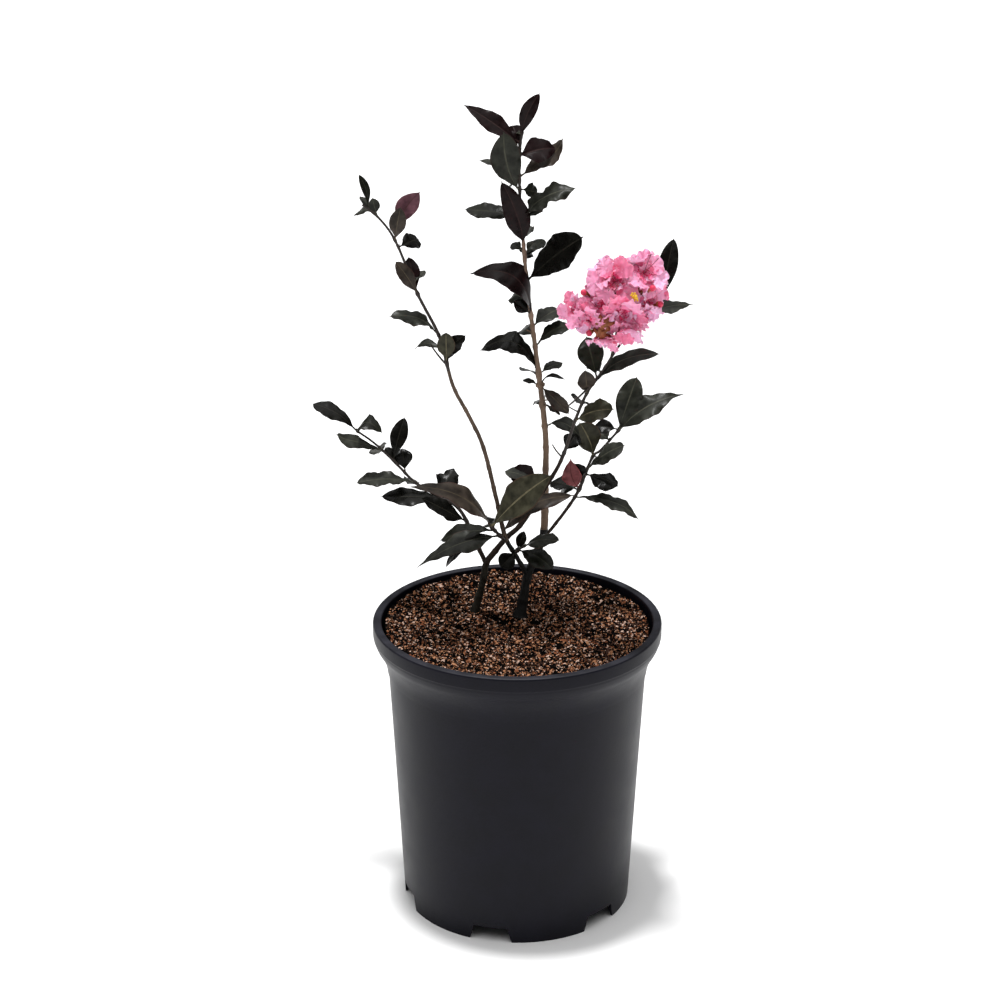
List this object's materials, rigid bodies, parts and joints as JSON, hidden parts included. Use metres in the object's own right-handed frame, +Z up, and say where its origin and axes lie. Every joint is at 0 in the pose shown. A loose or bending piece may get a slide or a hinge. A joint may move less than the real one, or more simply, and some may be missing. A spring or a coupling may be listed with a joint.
{
  "type": "potted crape myrtle",
  "caption": "Young potted crape myrtle: thin forking stems with dark glossy leaves and one ruffled pink flower head, in a tall plain nursery pot.",
  "frame": {"origin": "centre of the flat underside of the pot, on the ground", "axes": "+Z up along the axis of the pot, +X to the right and -Y towards the viewer in the front view"},
  "size_m": [0.2796, 0.2164, 0.6235],
  "materials": {
    "pot": "satin",
    "potting_mix": "rough",
    "bark": "matt",
    "foliage": "glossy leaf",
    "blossom": "soft petal"
  },
  "bodies": {
    "root": {"bough_centre": "bark", "bough_flower": "bark", "bough_low_left": "bark", "bough_right": "bark", "bough_tall_left": "bark", "flower_head": "blossom", "foliage_behind_flower": "foliage", "foliage_centre_back": "foliage", "foliage_centre_low": "foliage", "foliage_centre_middle": "foliage", "foliage_centre_top": "foliage", "foliage_flower_stem": "foliage", "foliage_foot_left": "foliage", "foliage_foot_right": "foliage", "foliage_low_left": "foliage", "foliage_right": "foliage", "foliage_tall_left_low": "foliage", "foliage_tall_left_top": "foliage", "pot": "pot", "potting_soil": "potting_mix", "stem_left": "bark", "stem_right": "bark"}
  },
  "joints": []
}
